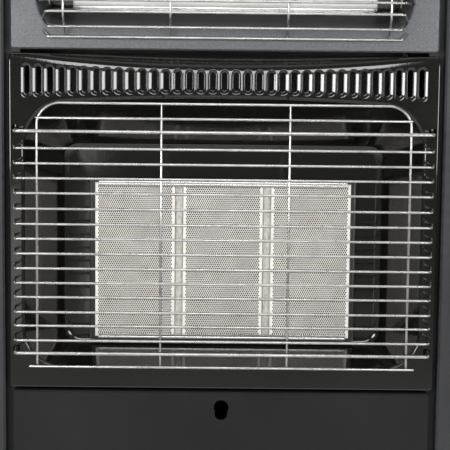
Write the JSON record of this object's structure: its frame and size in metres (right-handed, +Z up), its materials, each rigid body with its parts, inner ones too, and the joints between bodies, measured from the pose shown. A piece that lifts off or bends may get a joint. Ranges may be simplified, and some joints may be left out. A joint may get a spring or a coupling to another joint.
{
  "type": "cabinet heater",
  "caption": "Portable gas cabinet heater on castors: guarded ceramic plaque burner in an enamelled bowl, guarded electric element above, bottle compartment behind a rear door.",
  "frame": {"origin": "centre of the bounding box at floor level, under the castors' wheels", "axes": "+Z up, -Y towards the front with the burner, +X to the right as seen from the front"},
  "size_m": [0.4344, 0.447, 0.8274],
  "materials": {
    "charcoal_paint": "matt powder coat",
    "grey_paint": "satin paint",
    "metallic_paint": "metallic paint",
    "black_enamel": "gloss vitreous enamel",
    "chrome": "bright plating",
    "steel": "satin",
    "galvanised": "galvanised",
    "reflector_aluminium": "polished",
    "ceramic": "unglazed ceramic",
    "fibre": "pressed fibre",
    "quartz": "milky quartz",
    "black_plastic": "fine grain",
    "red_plastic": "gloss",
    "brass": "satin",
    "rubber": "matt"
  },
  "bodies": {
    "cabinet": {"left_side_panel": "grey_paint", "right_side_panel": "grey_paint", "base_tray": "charcoal_paint", "bottle_shelf": "galvanised", "lower_front_panel": "charcoal_paint", "rear_upper_panel": "charcoal_paint", "door_catch": "black_plastic", "top_casing": "charcoal_paint", "heat_shield": "galvanised", "lower_hinge_pin": "steel", "upper_hinge_pin": "steel", "left_grip": "black_plastic", "right_grip": "black_plastic", "mains_gland": "black_plastic", "control_panel": "black_plastic", "switch_block": "black_plastic", "gas_valve": "brass", "igniter_body": "black_plastic", "burner_fascia": "black_enamel", "burner_housing": "black_enamel", "plaque_1": "ceramic", "plaque_2": "ceramic", "plaque_3": "ceramic", "plaque_gasket_1": "fibre", "plaque_gasket_2": "fibre", "upper_plaque_strip": "steel", "lower_plaque_strip": "steel", "gas_manifold": "brass", "pilot_assembly": "steel", "gas_inlet": "brass", "burner_guard": "chrome", "upper_fascia": "metallic_paint", "reflector": "reflector_aluminium", "lower_quartz_tube": "quartz", "upper_quartz_tube": "quartz", "left_tube_holder": "ceramic", "right_tube_holder": "ceramic", "element_guard": "chrome"},
    "door": {"rear_door": "charcoal_paint", "door_pull": "black_plastic"},
    "spindle": {"valve_push_rod": "steel"},
    "knob": {"gas_knob": "black_plastic"},
    "igniter": {"igniter_button": "red_plastic"},
    "rocker_right": {"right_rocker": "red_plastic"},
    "rocker_left": {"left_rocker": "red_plastic"},
    "castor_1": {"castor_fork_1": "black_plastic"},
    "wheel_1": {"castor_wheel_1": "rubber"},
    "castor_2": {"castor_fork_2": "black_plastic"},
    "wheel_2": {"castor_wheel_2": "rubber"},
    "castor_3": {"castor_fork_3": "black_plastic"},
    "wheel_3": {"castor_wheel_3": "rubber"},
    "castor_4": {"castor_fork_4": "black_plastic"},
    "wheel_4": {"castor_wheel_4": "rubber"}
  },
  "joints": [
    {"name": "rear_door_hinge", "type": "hinge", "parent": "cabinet", "child": "door", "pos_m": [-0.2074, 0.2177, 0.3], "axis": [0, 0, 1], "range_deg": [0, 110]},
    {"name": "gas_knob_push", "type": "slide", "parent": "cabinet", "child": "spindle", "axis": [0, 0, -1], "range_m": [0, 0.0045], "stiffness_N_per_m": 700, "springref_m": -0.003},
    {"name": "gas_knob_turn", "type": "hinge", "parent": "spindle", "child": "knob", "pos_m": [0.085, 0.0031, 0.7994], "axis": [0, 0, 1], "range_deg": [0, 210]},
    {"name": "igniter_push", "type": "slide", "parent": "cabinet", "child": "igniter", "axis": [0, 0, -1], "range_m": [0, 0.006], "stiffness_N_per_m": 900, "springref_m": -0.003},
    {"name": "right_switch_rock", "type": "hinge", "parent": "cabinet", "child": "rocker_right", "pos_m": [-0.06, 0.0031, 0.7924], "axis": [1, 0, 0], "range_deg": [0, 20]},
    {"name": "left_switch_rock", "type": "hinge", "parent": "cabinet", "child": "rocker_left", "pos_m": [-0.1, 0.0031, 0.7924], "axis": [1, 0, 0], "range_deg": [0, 20]},
    {"name": "castor_1_swivel", "type": "hinge", "parent": "cabinet", "child": "castor_1", "pos_m": [-0.159, -0.1349, 0.058], "axis": [0, 0, 1], "continuous": true},
    {"name": "wheel_1_roll", "type": "hinge", "parent": "castor_1", "child": "wheel_1", "pos_m": [-0.159, -0.1169, 0.025], "axis": [1, 0, 0], "continuous": true},
    {"name": "castor_2_swivel", "type": "hinge", "parent": "cabinet", "child": "castor_2", "pos_m": [-0.159, 0.1491, 0.058], "axis": [0, 0, 1], "continuous": true},
    {"name": "wheel_2_roll", "type": "hinge", "parent": "castor_2", "child": "wheel_2", "pos_m": [-0.159, 0.1671, 0.025], "axis": [1, 0, 0], "continuous": true},
    {"name": "castor_3_swivel", "type": "hinge", "parent": "cabinet", "child": "castor_3", "pos_m": [0.159, -0.1349, 0.058], "axis": [0, 0, 1], "continuous": true},
    {"name": "wheel_3_roll", "type": "hinge", "parent": "castor_3", "child": "wheel_3", "pos_m": [0.159, -0.1169, 0.025], "axis": [1, 0, 0], "continuous": true},
    {"name": "castor_4_swivel", "type": "hinge", "parent": "cabinet", "child": "castor_4", "pos_m": [0.159, 0.1491, 0.058], "axis": [0, 0, 1], "continuous": true},
    {"name": "wheel_4_roll", "type": "hinge", "parent": "castor_4", "child": "wheel_4", "pos_m": [0.159, 0.1671, 0.025], "axis": [1, 0, 0], "continuous": true}
  ]
}
